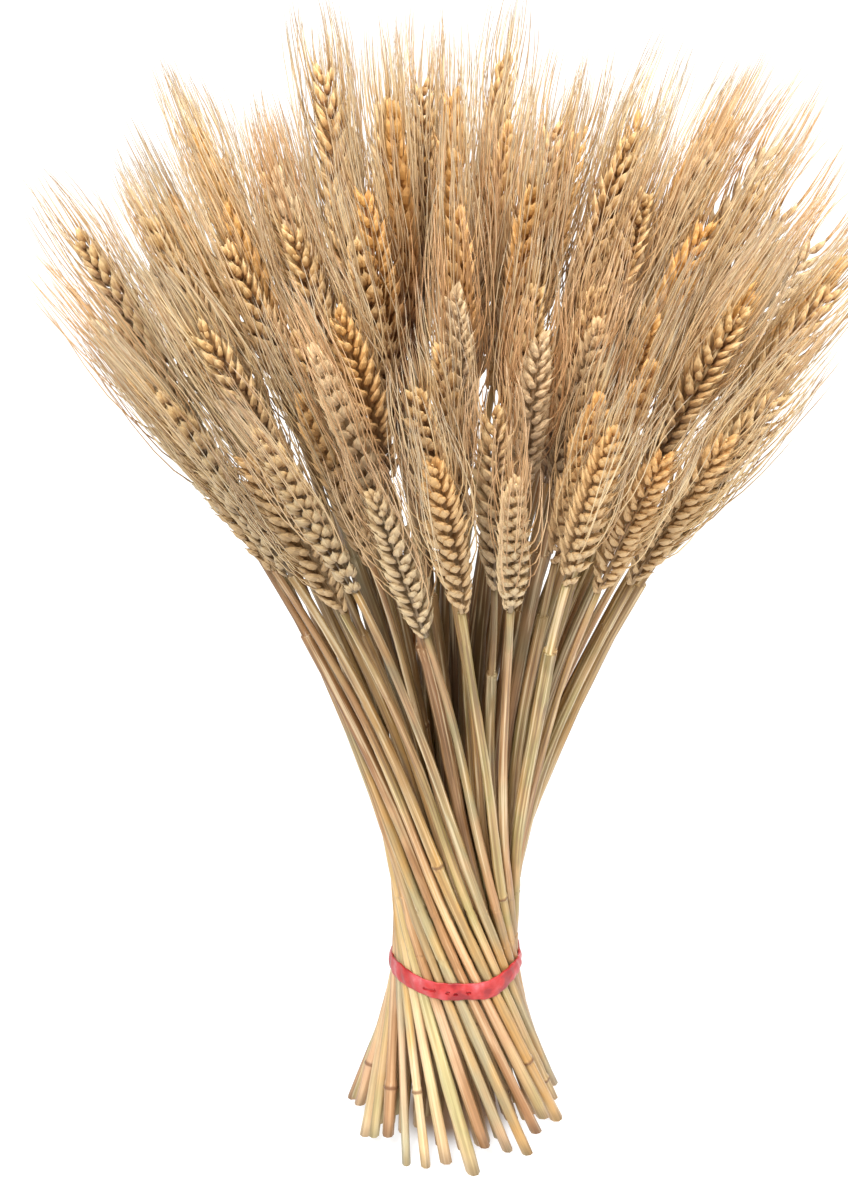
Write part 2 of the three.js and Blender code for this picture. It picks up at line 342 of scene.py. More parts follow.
# %% [markdown]
# ## Dice
#
# No two stalks are alike, and still the bundle has to come out the same each time. So the small
# differences are drawn by dice with a fixed seed. The frame's stalks were drawn by the same dice
# and in the same order, so the fine stalks run where the plain ones do.

# %% Make the dice
SEED = 11


class Dice:
    """The frame's seeded draw, in which each state gives the next."""

    FACTOR = 1664525
    SHIFT = 1013904223
    STATES = 2**32

    def __init__(self, seed):
        self.state = seed

    def roll(self, low, high):
        self.state = (self.state * self.FACTOR + self.SHIFT) % self.STATES
        return low + (high - low) * self.state / self.STATES

    def step(self, most):
        length = self.roll(0, most)
        return cmath.rect(length, self.roll(0, 2 * math.pi))


print("the first throw is", round(Dice(SEED).roll(0, 1), 3))

# %% [markdown]
# ## Where each stalk runs
#
# The stalks stand in five rings round a middle one. The dice say how far a stalk strays, how long
# its neck and its ear are, which way the ear faces and how high the straw is cut. A place on a
# level is kept as one complex number, which holds its distance and its angle at once.

# %% Draw the stalks
RINGS = 5
MILLIMETRE = 0.001
LONGEST_NECK = 0.290
RIM_DROP = 0.032
RIM_CURVE = 1.5
BACK_RISE = 0.009
NECK_SPREAD = 0.015
END_RISE = 0.010
STRAY = 0.007
BOW = 0.0016
EAR_LENGTH = (0.074, 0.090)
AWN_REACH = (0.018, 0.030)
LONG_EVERY = 3  # every third stalk of the rim stands on the floor


def ring_count(ring):
    """One stalk stands in the middle, six round it, and six more in each ring after that."""
    return max(1, 6 * ring)


class Stalk:
    """One stalk: its place in the rings, its lengths and how it strays."""

    def __init__(self, dice, ring, place, phase):
        rim = ring / RINGS
        self.ring = ring
        self.place = place
        self.angle = 2 * math.pi * (place + phase) / ring_count(ring)
        back = rim * math.sin(self.angle + spread(HEAD)[1])
        self.stray = dice.step(STRAY)
        self.bow = dice.step(BOW)
        self.neck = LONGEST_NECK - RIM_DROP * rim**RIM_CURVE + BACK_RISE * back
        self.neck += dice.roll(-NECK_SPREAD, NECK_SPREAD)
        self.ear = dice.roll(*EAR_LENGTH)
        self.reach = dice.roll(*AWN_REACH)
        self.face = dice.roll(0, 2 * math.pi)
        cut = dice.roll(0, END_RISE)
        self.end = 0 if ring == RINGS and place % LONG_EVERY == 0 else cut
        self.tip = self.neck + self.ear * self.direction(self.neck)[1]

    def at(self, height):
        """The middle of the stalk at a height, as a complex number."""
        scale, turn = spread(height)
        share = math.copysign(scale - 1, height - WAIST) / FULL_OPENING
        climb = min(1, max(0, (height - WAIST) / (self.neck - WAIST)))
        bend = math.sin(math.pi * climb) ** 2
        reach = cmath.rect(PITCH * self.ring * scale, self.angle + turn)
        return reach + self.stray * share + self.bow * bend

    def direction(self, height):
        """Which way the stalk grows at a height: its lean on the level, and its rise."""
        lean = self.at(height + MILLIMETRE) - self.at(height - MILLIMETRE)
        length = math.hypot(abs(lean), 2 * MILLIMETRE)
        return lean / length, 2 * MILLIMETRE / length

    def point(self, height):
        """The middle of the stalk at a height, in the frame."""
        place = self.at(height)
        return Vector((axis.x + place.real, axis.y + place.imag, height))


def gather():
    dice = Dice(SEED)
    stalks = []
    for ring in range(RINGS + 1):
        phase = dice.roll(0, 1)
        for place in range(ring_count(ring)):
            stalks.append(Stalk(dice, ring, place, phase))
    return stalks


stalks = gather()
print(len(stalks), "stalks, the tallest", round(max(stalk.tip for stalk in stalks) * 1000), "mm")

# %% [markdown]
# ## Parting the ears
#
# An ear is four times as thick as its straw, and where two meet in a real bundle they lean apart.
# So each pair of neighbours is tested at the feet, middles and tips of both ears, and pushed
# apart by a share of the room that they lack, round after round. At last three stalks are patted
# aside by a few millimetres, as one does by hand where light falls through the head.

# %% Part the ears
EAR_CLEAR = 0.0071
STEM_CLEAR = 0.0016
NECK_STEP = 0.002
TOP_CLEAR = 0.004
NEIGHBOUR_PITCHES = 2.3
PARTING_ROUNDS = 80
PARTING_STEP = 0.3
PATS = [(26, 0.0055), (27, 0.0028), (73, -0.0030)]  # number of the stalk, and how far right


def room(stalk, height):
    """The radius that a stalk needs at a height."""
    is_ear = stalk.neck - NECK_STEP < height < stalk.tip + TOP_CLEAR
    return EAR_CLEAR if is_ear else STEM_CLEAR


def part_pair(one, other, height):
    """Moves two stalks apart by a share of the room that they lack at a height."""
    lean, rise = one.direction(height)
    apart = one.at(height) - other.at(height)
    along = apart.real * lean.real + apart.imag * lean.imag
    level = apart - lean * along
    gap = math.hypot(abs(level), rise * along)
    lack = room(one, height) + room(other, height) - gap
    if lack > 0:
        opening = (spread(height)[0] - 1) / FULL_OPENING
        move = level / gap * lack * PARTING_STEP / max(PARTING_STEP, opening)
        one.stray += move
        other.stray -= move


def part_ears(stalks):
    """Ears that would touch lean away from each other, a little at a time."""
    pairs = []
    for index, one in enumerate(stalks):
        for other in stalks[:index]:
            if abs(one.at(WAIST) - other.at(WAIST)) < NEIGHBOUR_PITCHES * PITCH:
                pairs.append((one, other))
    for _ in range(PARTING_ROUNDS):
        for one, other in pairs:
            middles = ((one.neck + one.tip) / 2, (other.neck + other.tip) / 2)
            for height in (one.neck, one.tip, other.neck, other.tip, *middles):
                part_pair(one, other, height)
    return len(pairs)


print(part_ears(stalks), "pairs of neighbours")
for number, aside in PATS:
    stalks[number].stray += aside
print("the middle stalk strays", round(abs(stalks[0].stray) * 1000, 1), "mm")

# %% [markdown]
# ## Modelling once, copying often
#
# An ear has over a hundred husks, so a husk is modelled once, with few faces, and copied. A shape
# that is to be copied is kept as plain arrays. Next to its place, each point keeps a few notes for
# the materials: where it was on the straight plant, so that fibres follow the straw when it is
# bent, how far along its husk or awn it is, how far up the ear, and a tint of its own.

# %% Shapes
class Shape:
    """Triangles to be copied: places, corners, what each face is made of, and notes per point."""

    def __init__(self, points, faces, finish, notes):
        self.points = points
        self.faces = faces
        self.finish = finish
        self.notes = notes

    def placed(self, matrix, **notes):
        """A copy that is moved by a matrix, with some notes the same all over it."""
        turned = self.points @ np.array(matrix.to_3x3()).T + np.array(matrix.translation)
        return self.noted(turned, **notes)

    def noted(self, points, **notes):
        """A copy with other places, and with some notes the same all over it."""
        changed = dict(self.notes)
        for name, value in notes.items():
            changed[name] = np.broadcast_to(value, np.shape(self.notes[name])).copy()
        return Shape(points, self.faces, self.finish, changed)


def join(shapes):
    """Several shapes as one."""
    starts = np.cumsum([0] + [len(shape.points) for shape in shapes[:-1]])
    notes = {}
    for name in shapes[0].notes:
        notes[name] = np.concatenate([shape.notes[name] for shape in shapes])
    return Shape(
        np.concatenate([shape.points for shape in shapes]),
        np.concatenate([shape.faces + start for shape, start in zip(shapes, starts)]),
        np.concatenate([shape.finish for shape in shapes]),
        notes,
    )


print("each point will carry grain, share, rise and tint")

# %% [markdown]
# ## Helpers for modelling
#
# Operators act on what is selected, so one helper selects points by their place and one selects
# all of a mesh. One turns the faces of a new mesh outwards, and one reads a mesh as a shape. What
# each face is made of is noted as a number, which is the place of its finish on the piece.

# %% Helpers for modelling
STRAW = 0
HUSK = 1
AWN = 2


def pick(thing, is_wanted):
    """In edit mode, selects the points whose place passes a test."""
    mesh = bmesh.from_edit_mesh(thing.data)
    for point in mesh.verts:
        point.select_set(is_wanted(point.co))
    mesh.select_flush_mode()
    bmesh.update_edit_mesh(thing.data)


def edit_all(kind):
    """Opens the object in hand in edit mode, with all points or faces of it selected."""
    bpy.ops.object.mode_set(mode="EDIT")
    bpy.ops.mesh.select_mode(type=kind)
    bpy.ops.mesh.select_all(action="SELECT")


def turn_outwards():
    """Turns all faces of the mesh in hand outwards and leaves edit mode."""
    bpy.ops.mesh.select_all(action="SELECT")
    bpy.ops.mesh.normals_make_consistent(inside=False)
    bpy.ops.object.mode_set(mode="OBJECT")


def read_shape(thing, finish):
    """Reads a modelled mesh as a shape and removes it. Its own places become its grain."""
    bpy.ops.object.mode_set(mode="EDIT")
    bpy.ops.mesh.select_all(action="SELECT")
    bpy.ops.mesh.quads_convert_to_tris()
    bpy.ops.object.mode_set(mode="OBJECT")
    mesh = thing.data
    points = np.empty(len(mesh.vertices) * 3)
    mesh.vertices.foreach_get("co", points)
    corners = np.empty(len(mesh.loops), int)
    mesh.loops.foreach_get("vertex_index", corners)
    bpy.data.objects.remove(thing)
    points = points.reshape(-1, 3)
    height = points[:, 2]
    notes = {
        "grain": points.copy(),
        "share": height / height.max(),
        "rise": np.zeros(len(points)),
        "tint": np.zeros(len(points)),
    }
    faces = corners.reshape(-1, 3)
    return Shape(points, faces, np.full(len(faces), finish), notes)


print("straw, husk and awn are finishes", STRAW, HUSK, "and", AWN)

# %% [markdown]
# ## One husk
#
# A husk is a small pointed boat of dry skin with a keel along its back. It starts as a coarse
# sphere with six sides. Its rings are squeezed into the boat's outline, narrow at the foot,
# widest below the middle and drawn out to a point, and the line along the back is pulled out
# into the keel. With so few faces it stays flat shaded, and looks as creased as dry skin is.

# %% Model the husk
HUSK_LENGTH = 0.0096
HUSK_WIDTH = 0.0045
HUSK_DEPTH = 0.0023
HUSK_SIDES = 6
HUSK_RINGS = 5
KEEL = 0.0005
BEAK = 0.0022
RING_SQUEEZES = [0.8, 1.04, 0.86, 0.42]  # from the foot up
RING_NEAR = 0.1  # of half the length
KEEL_NEAR = 0.1  # of the width
KEEL_FROM = 0.2  # of the depth: a ring thinner than this has no keel
TIP_FROM = 0.99  # of the length


def model_husk():
    bpy.ops.object.select_all(action="DESELECT")
    half = HUSK_LENGTH / 2
    bpy.ops.mesh.primitive_uv_sphere_add(
        segments=HUSK_SIDES, ring_count=HUSK_RINGS, radius=half, location=(0, 0, half)
    )
    husk = bpy.context.object
    bpy.ops.object.transform_apply(location=True)
    edit_all("VERT")
    bpy.ops.transform.rotate(value=math.pi / HUSK_SIDES, orient_axis="Z", center_override=(0, 0, 0))
    flat = (HUSK_DEPTH / HUSK_LENGTH, HUSK_WIDTH / HUSK_LENGTH, 1)
    bpy.ops.transform.resize(value=flat, center_override=(0, 0, half))
    for ring, squeeze in enumerate(RING_SQUEEZES):
        height = half - half * math.cos(math.pi * (ring + 1) / HUSK_RINGS)
        pick(husk, lambda place: abs(place.z - height) < half * RING_NEAR)
        bpy.ops.transform.resize(value=(squeeze, squeeze, 1), center_override=(0, 0, height))
    least = HUSK_DEPTH * KEEL_FROM
    pick(husk, lambda place: place.x > least and abs(place.y) < HUSK_WIDTH * KEEL_NEAR)
    bpy.ops.transform.translate(value=(KEEL, 0, 0))
    pick(husk, lambda place: place.z > HUSK_LENGTH * TIP_FROM)
    bpy.ops.transform.translate(value=(0, 0, BEAK))
    bpy.ops.object.mode_set(mode="OBJECT")
    return read_shape(husk, HUSK)


husk_shape = model_husk()
print("a husk has", len(husk_shape.faces), "triangles")

# %% [markdown]
# ## One awn
#
# An awn is a stiff bristle, about half a millimetre thick and up to six centimetres long. Three
# sides are enough for it. It is modelled one unit long, extruded upwards ring by ring and
# narrowed as it goes, and merged to a point. Each copy is then bent on its own, along a curve
# that leaves the husk one way and ends another.

# %% Model the awn
AWN_RADIUS = 0.0003
AWN_RINGS = 5
AWN_NARROWING = 0.84


def model_awn():
    bpy.ops.object.select_all(action="DESELECT")
    bpy.ops.mesh.primitive_circle_add(vertices=3, radius=AWN_RADIUS, fill_type="NGON")
    awn = bpy.context.object
    edit_all("VERT")
    step = 1 / AWN_RINGS
    for ring in range(AWN_RINGS):
        bpy.ops.mesh.extrude_region_move(TRANSFORM_OT_translate={"value": (0, 0, step)})
        centre = (0, 0, (ring + 1) * step)
        narrow = (AWN_NARROWING, AWN_NARROWING, 1)
        bpy.ops.transform.resize(value=narrow, center_override=centre)
    bpy.ops.mesh.merge(type="CENTER")
    turn_outwards()
    return read_shape(awn, AWN)


def bent_awn(start, middle, end, **notes):
    """A copy of the awn along the curve from start to end that leaves towards middle."""
    along = awn_shape.points[:, 2:3]
    curve = (1 - along) ** 2 * start + 2 * along * (1 - along) * middle + along**2 * end
    offset = awn_shape.points * (1, 1, 0)
    return awn_shape.noted(curve + offset, **notes)


awn_shape = model_awn()
print("an awn has", len(awn_shape.faces), "triangles")

# %% [markdown]
# ## The awns of an ear
#
# An awn leaves its husk the way the husk leans, and then straightens up along the ear, the lower
# ones closest to it. None may end much higher than the frame's awns do, so those at the tip of the
# ear come out shorter.

# %% Grow an awn
EAR_HEIGHT = 0.082
REACH = 0.024  # how far the awns of a model stand past its tip
AWN_LENGTH = 0.056
AWN_LENGTHS = (0.85, 1.1)  # as shares of that
AWN_TOPS = (0.55, 1.12)  # how far past the tip an awn may end, as a share of the reach
AWN_SPLAY = (-0.05, 0.28)  # how far an awn leans, as a share of its husk's lean
LOW_SPLAY = 0.35  # the lowest awns lean by this share of that
AWN_SWAY = 0.03
AWN_TURN = 0.3  # where along its length an awn turns upwards


def grow_awn(random, tip, lean, rise):
    """One awn, which leaves its husk and then straightens up along the ear."""
    length = AWN_LENGTH * random.uniform(*AWN_LENGTHS)
    top = min(tip.z + length, EAR_HEIGHT + REACH * random.uniform(*AWN_TOPS))
    length = top - tip.z
    growth = LOW_SPLAY + (1 - LOW_SPLAY) * rise
    splay = Vector((lean.x, lean.y)) * random.uniform(*AWN_SPLAY) * growth
    splay += Vector(random.normal(0, AWN_SWAY, 2))
    end = Vector((tip.x + splay.x * length, tip.y + splay.y * length, top))
    middle = tip + lean * (length * AWN_TURN)
    grain = awn_shape.notes["grain"] + random.uniform(-1, 1, 3)
    places = [np.array(place) for place in (tip, middle, end)]
    return bent_awn(*places, rise=rise, tint=random.uniform(0, 1), grain=grain)


print("awns are up to", round(AWN_LENGTH * AWN_LENGTHS[1] * 1000), "mm long")

# %% [markdown]
# ## The spikelets
#
# A spikelet has two short keeled husks outside, two longer ones that end in an awn, and a last one
# in the middle, which mostly has an awn too. All lean outwards, which draws the herringbone on the
# face of the ear. An ear is thin at the neck, and towards its tip it tapers and closes.

# %% Grow a spikelet
SPIKELET_TINT = 0.6  # how much of a husk's tint its spikelet gives
HUSK_SIZES = (0.88, 1.1)
HUSK_SWAY = 0.06
FIRST_AWNS = 0.12  # spikelets lower than this share of an ear have no awns
AWN_SEAT = 0.93  # where an awn leaves its husk, as a share of the husk's length

# Foot out of the ear and across it, lean out and across, side that the keel faces, rise, size,
# and how many of these husks end in an awn
HUSK_PLACES = [
    (0.0007, 0.0018, 0.40, 0.38, 60, 0.0000, 0.84, 0.0),
    (0.0007, -0.0018, 0.40, -0.38, -60, 0.0003, 0.84, 0.0),
    (0.0014, 0.0011, 0.49, 0.26, 38, 0.0018, 1.05, 1.0),
    (0.0014, -0.0011, 0.49, -0.26, -38, 0.0027, 1.03, 1.0),
    (0.0022, 0.0000, 0.42, 0.02, 0, 0.0042, 0.92, 0.8),
]
RISES = [0.0, 0.12, 0.45, 0.75, 1.0]
FULLNESS = [0.58, 0.88, 1.0, 0.9, 0.62]  # the size of the husks at these rises
OPENING = [0.8, 1.0, 1.0, 0.85, 0.4]  # how far they lean there


def husk_matrix(base, lean, facing, size):
    """Where a husk goes: its foot, the way it grows, the side that its keel faces and its size."""
    up = Vector(lean).normalized()
    keel = Vector((math.cos(facing), math.sin(facing), 0))
    keel = (keel - up * keel.dot(up)).normalized()
    turn = Matrix((keel, up.cross(keel), up)).transposed().to_4x4()
    return Matrix.Translation(base) @ turn @ Matrix.Scale(size, 4)


def grow_spikelet(random, height, side, rise):
    """The husks and awns of one spikelet."""
    parts = []
    full = np.interp(rise, RISES, FULLNESS)
    opening = np.interp(rise, RISES, OPENING)
    spikelet_tint = random.uniform(0, 1)
    for out, across, lean_out, lean_across, facing, lift, size, awns in HUSK_PLACES:
        size = size * full * random.uniform(*HUSK_SIZES)
        base = Vector((side * out * full, side * across * full, height + lift * full))
        sway = random.normal(0, HUSK_SWAY, 2)
        lean = Vector((side * lean_out, side * lean_across)) * opening + Vector(sway)
        lean = lean.to_3d() + Vector((0, 0, 1))
        lean.normalize()
        turn = math.radians(facing) + (0 if side > 0 else math.pi)
        tint = SPIKELET_TINT * spikelet_tint + (1 - SPIKELET_TINT) * random.uniform(0, 1)
        matrix = husk_matrix(base, lean, turn, size)
        grain = husk_shape.notes["grain"] + random.uniform(-1, 1, 3)
        parts.append(husk_shape.placed(matrix, rise=rise, tint=tint, grain=grain))
        if rise > FIRST_AWNS and random.uniform() < awns:
            tip = base + lean * (HUSK_LENGTH * size * AWN_SEAT)
            parts.append(grow_awn(random, tip, lean, rise))
    return parts


print("a spikelet has", len(HUSK_PLACES), "husks")

# %% [markdown]
# ## The ear
#
# The spikelets sit on the two sides of a thin stalk, left and right in turn. Six ears are grown
# from small random differences, and each stalk takes one of them.

# %% Grow the ears
EAR_MODELS = 6
SPIKELETS = 22
FIRST_SPIKELET = 0.005  # the heights of the lowest and the highest, as shares of the ear's
LAST_SPIKELET = 0.9
SPIKELET_SHIFT = 0.0003
CORE_RADIUS = 0.0009
CORE_TAPER = 3
CORE_SIDES = 5
CORE_SHARE = 0.94  # of the ear's height


def model_core():
    """The thin stalk inside the ear, from the neck almost to the tip."""
    height = EAR_HEIGHT * CORE_SHARE
    bpy.ops.object.select_all(action="DESELECT")
    bpy.ops.mesh.primitive_cone_add(
        vertices=CORE_SIDES,
        radius1=CORE_RADIUS,
        radius2=CORE_RADIUS / CORE_TAPER,
        depth=height,
        location=(0, 0, height / 2),
    )
    core = bpy.context.object
    bpy.ops.object.transform_apply(location=True)
    return read_shape(core, HUSK)


def grow_ear(seed):
    random = np.random.default_rng(seed)
    parts = [model_core()]
    for number in range(SPIKELETS):
        rise = number / (SPIKELETS - 1)
        share = FIRST_SPIKELET + (LAST_SPIKELET - FIRST_SPIKELET) * rise
        height = EAR_HEIGHT * share + random.uniform(-1, 1) * SPIKELET_SHIFT
        parts += grow_spikelet(random, height, 1 if number % 2 else -1, rise)
    return join(parts)


ear_shapes = [grow_ear(seed) for seed in range(EAR_MODELS)]
print("an ear has", len(ear_shapes[0].faces), "triangles")

# %% [markdown]
# ## The straw
#
# A straw is a tube in rings. So one is modelled as a circle that is extruded a unit at a time
# into a stack of rings, and each stalk's copy spreads and widens these rings as it needs.

# %% Model the straw
STEM_SIDES = 8
EVEN_RINGS = 24
JOINT_STEPS = [-0.0022, -0.0008, 0.0, 0.0007, 0.0018]  # the rings of a joint, round its middle
STEM_RINGS = EVEN_RINGS + 2 * len(JOINT_STEPS) + 2


def model_straw():
    bpy.ops.object.select_all(action="DESELECT")
    bpy.ops.mesh.primitive_circle_add(vertices=STEM_SIDES, radius=1, fill_type="NGON")
    straw = bpy.context.object
    edit_all("FACE")
    for _ in range(STEM_RINGS - 1):
        bpy.ops.mesh.extrude_region_move(TRANSFORM_OT_translate={"value": (0, 0, 1)})
    turn_outwards()
    return read_shape(straw, STRAW)


straw_shape = model_straw()
print("a straw has", len(straw_shape.faces), "triangles")

# %% [markdown]
# ## The line of a stalk
#
# A stalk's line follows the bundle's rule and wanders a little on its way from the waist to the
# neck, because no dry straw is quite straight. A piece that is built upright and bent later has
# to know how long the line is up to any height, so the line is measured first.

# %% Measure the lines
SPARE = 0.004  # length below the cut, which is trimmed off
WANDER = 0.0006
WAVES = (0.5, 1.3)  # how many times the line wanders to and fro


class Course:
    """The curved line of a stalk, with the length along it at each height."""

    STEP = 0.002

    def __init__(self, stalk):
        top = stalk.tip + stalk.reach + 2 * SPARE
        self.heights = np.arange(stalk.end - SPARE, top, self.STEP)
        self.points = np.array([stalk.point(height) for height in self.heights])
        self.points[:, :2] += self.wander(stalk)
        steps = np.linalg.norm(np.diff(self.points, axis=0), axis=1)
        self.lengths = np.concatenate([[0], np.cumsum(steps)])

    def wander(self, stalk):
        """How far the straw wanders off the rule's line at each height."""
        random = np.random.default_rng([stalk.ring, stalk.place])
        climb = np.clip((self.heights - WAIST) / (stalk.neck - WAIST), 0, 1)[:, None]
        waves = random.uniform(*WAVES, 2) * climb + random.uniform(0, 1, 2)
        return WANDER * np.sin(np.pi * climb) * np.sin(2 * np.pi * waves)

    def length_to(self, heights):
        return np.interp(heights, self.heights, self.lengths)


print("the middle stalk's line is", round(Course(stalks[0]).lengths[-1] * 1000), "mm long")

# %% [markdown]
# ## Joints and sheaths
#
# Wheat thickens into a joint every hand's width. The bundle was cut above most of them, so few
# straws show one. Some keep the dry sheath of a leaf, which widens upwards round the straw and
# ends in an edge. Both are only rings of another radius. A straw dries unevenly, so every ring
# and every point of it is a little off, and no two straws are equally thick.

# %% Grow a stem
STEM_RADIUS = 0.0019
NECK_RADIUS = 0.00145
TAPER_START = 0.112
JOINT_SWELLING = [1.0, 1.13, 1.2, 1.1, 1.0]
JOINT_DARKNESS = [0.0, 0.35, 1.0, 0.5, 0.0]
LOW_JOINT = (0.012, 0.055)
LOW_JOINT_CHANCE = 0.4
HIGH_JOINT = (0.095, 0.190)
HIGH_JOINT_CHANCE = 0.1
SPARE_PLACES = (0.08, 0.1)  # where the rings of a joint go on a straw without it
SHEATH_TOP = (0.78, 0.98)  # as a share of the neck's height
SHEATH_EDGE = 0.0004
SHEATH_SWELLING = 1.6
RIM_SHEATH_CHANCE = 0.3
INNER_SHEATH_CHANCE = 0.75
THICKNESS = (0.74, 1.04)
FOOT_THICKNESS = (1.0, 1.45)
UNEVEN_RING = 0.035
UNEVEN_POINT = 0.035


def stem_rings(random, stalk):
    """The height, radius and joint darkness of each ring of a stalk's straw."""
    low_joint = random.uniform(*LOW_JOINT) if random.uniform() < LOW_JOINT_CHANCE else None
    high_joint = random.uniform(*HIGH_JOINT) if random.uniform() < HIGH_JOINT_CHANCE else None
    sheath_chance = RIM_SHEATH_CHANCE if stalk.ring == RINGS else INNER_SHEATH_CHANCE
    has_sheath = random.uniform() < sheath_chance
    thickness = random.uniform(*THICKNESS)
    foot_thickness = random.uniform(*FOOT_THICKNESS)
    bottom = stalk.end - SPARE
    rings = [(height, 1.0, 0.0) for height in np.linspace(bottom, stalk.neck, EVEN_RINGS)]
    for joint, spare_place in zip((low_joint, high_joint), SPARE_PLACES):
        for step, swelling, darkness in zip(JOINT_STEPS, JOINT_SWELLING, JOINT_DARKNESS):
            if joint:
                rings.append((joint + step, swelling, darkness))
            else:
                rings.append((spare_place + step, 1.0, 0.0))
    sheath_top = stalk.neck * random.uniform(*SHEATH_TOP)
    rings += [(sheath_top, 1.0, 0.0), (sheath_top + SHEATH_EDGE, 1.0, 0.0)]
    rings.sort()
    heights, swellings, darkness = np.array(rings).T
    share = np.clip((heights - TAPER_START) / (stalk.neck - TAPER_START), 0, 1)
    share = share * share * (3 - 2 * share)
    radii = (STEM_RADIUS + (NECK_RADIUS - STEM_RADIUS) * share) * thickness
    radii *= 1 + (foot_thickness - 1) * np.clip(1 - heights / WAIST, 0, 1)
    if has_sheath:
        opening = np.clip((heights - TAPER_START) / (sheath_top - TAPER_START), 0, 1)
        is_wrapped = heights < sheath_top + SHEATH_EDGE / 2
        radii[is_wrapped] *= 1 + (SHEATH_SWELLING - 1) * opening[is_wrapped]
    return heights, radii * swellings, darkness


def grow_stem(random, stalk, course):
    """The straw of a stalk, still upright."""
    heights, radii, darkness = stem_rings(random, stalk)
    level = np.rint(straw_shape.points[:, 2]).astype(int)
    uneven = random.normal(1, UNEVEN_RING, len(radii))[level]
    uneven *= random.normal(1, UNEVEN_POINT, len(level))
    points = straw_shape.points * (radii[level] * uneven)[:, None]
    points[:, 2] = course.length_to(heights)[level]
    grain = points + random.uniform(-1, 1, 3)
    return straw_shape.noted(points, share=darkness[level], grain=grain, rise=heights[level])


print("a stem has", STEM_RINGS, "rings")

# %% [markdown]
# ## The ear on its stem
#
# A stalk's ear is a copy of one of the six, turned to face its own way. The ear is stretched to
# its own length and the awns past its tip to their own reach, because a long ear need not have
# long awns.

# %% Set the ear on
def grow_top(random, stalk, course):
    """The ear of a stalk, still upright: a copy of one model, turned and stretched to its own."""
    model = ear_shapes[random.integers(EAR_MODELS)]
    turned = model.placed(Matrix.Rotation(stalk.face, 4, "Z"), grain=model.notes["grain"])
    foot, top = course.length_to([stalk.neck, stalk.tip])
    height = turned.points[:, 2]
    past = np.maximum(height - EAR_HEIGHT, 0)
    along = (height - past) * (top - foot) / EAR_HEIGHT + past * stalk.reach / REACH
    points = turned.points.copy()
    points[:, 2] = foot + along
    return turned.noted(points)


print("the middle stalk's ear faces", round(math.degrees(stalks[0].face)), "degrees")

# %% [markdown]
# ## From a shape to an object
#
# A shape becomes an object with a mesh of its own. The notes of its points become attributes that
# the finishes read. Two more attributes are the same all over a stalk: its tint, and how deep in
# the bundle it stands. Husks stay flat shaded, and straw and awns are smooth.

# %% Make an object
def make_mesh(name, shape, finishes, **whole):
    """A shape as an object, with its notes as attributes that the materials read."""
    mesh = bpy.data.meshes.new(name)
    mesh.from_pydata(shape.points, [], shape.faces)
    mesh.polygons.foreach_set("material_index", shape.finish)
    mesh.polygons.foreach_set("use_smooth", shape.finish != HUSK)
    grain = mesh.attributes.new("grain", "FLOAT_VECTOR", "POINT")
    grain.data.foreach_set("vector", shape.notes["grain"].astype(np.float32).ravel())
    notes = {note: shape.notes[note] for note in ("share", "rise", "tint")}
    for note, value in (notes | whole).items():
        attribute = mesh.attributes.new(note, "FLOAT", "POINT")
        values = np.broadcast_to(value, len(shape.points)).astype(np.float32)
        attribute.data.foreach_set("value", values)
    for finish in finishes:
        mesh.materials.append(finish)
    piece = bpy.data.objects.new(name, mesh)
    bpy.context.collection.objects.link(piece)
    return piece


print("an ear's notes are", ", ".join(ear_shapes[0].notes))

# %% [markdown]
# ## Bending and cutting
#
# Each stalk is put together straight and upright, and then a Curve modifier bends it along its
# own line, so it keeps its length and thickness. At the foot it is a little too long, and is cut
# off level, because the whole bundle was cut after it was tied.

# %% Bend and cut the stalks
CURVE_STRIDE = 5
CUT_REACH = 4 * SPARE  # how far above the cut the shears take hold


def make_line(course):
    """The stalk's line as a smooth curve."""
    data = bpy.data.curves.new("stalk_line", "CURVE")
    data.dimensions = "3D"
    spline = data.splines.new("NURBS")
    places = course.points[::CURVE_STRIDE]
    spline.points.add(len(places) - 1)
    for point, place in zip(spline.points, places):
        point.co = (*place, 1)
    spline.order_u = 4
    spline.use_endpoint_u = True
    line = bpy.data.objects.new("stalk_line", data)
    bpy.context.collection.objects.link(line)
    return line


def bend(piece, line):
    bpy.ops.object.select_all(action="DESELECT")
    bpy.context.view_layer.objects.active = piece
    piece.select_set(True)
    modifier = piece.modifiers.new("line", "CURVE")
    modifier.object = line
    modifier.deform_axis = "POS_Z"
    bpy.ops.object.modifier_apply(modifier=modifier.name)
    bpy.data.curves.remove(line.data)


def cut_foot(piece, height):
    """Trims the straw level at a height, as a pair of shears does."""
    bpy.ops.object.mode_set(mode="EDIT")
    bpy.ops.mesh.select_mode(type="VERT")
    bpy.ops.mesh.select_all(action="DESELECT")
    pick(piece, lambda place: place.z < height + CUT_REACH)
    bpy.ops.mesh.bisect(
        plane_co=(0, 0, height), plane_no=(0, 0, 1), use_fill=True, clear_inner=True
    )
    bpy.ops.object.mode_set(mode="OBJECT")


def grow_stalk(stalk, number, finishes):
    """One whole stalk: straw, ear and awns in one mesh."""
    random = np.random.default_rng([SEED, number])
    course = Course(stalk)
    stalk_tint = random.uniform(0, 1)
    shape = join([grow_stem(random, stalk, course), grow_top(random, stalk, course)])
    # depth drives the painted shade of stalks deep in the bundle
    depth = 1 - stalk.ring / RINGS
    piece = make_mesh("wheat", shape, finishes, stalk_tint=stalk_tint, depth=depth)
    bend(piece, make_line(course))
    cut_foot(piece, stalk.end)
    return piece


print("a line has a point every", round(CURVE_STRIDE * Course.STEP * 1000), "mm")
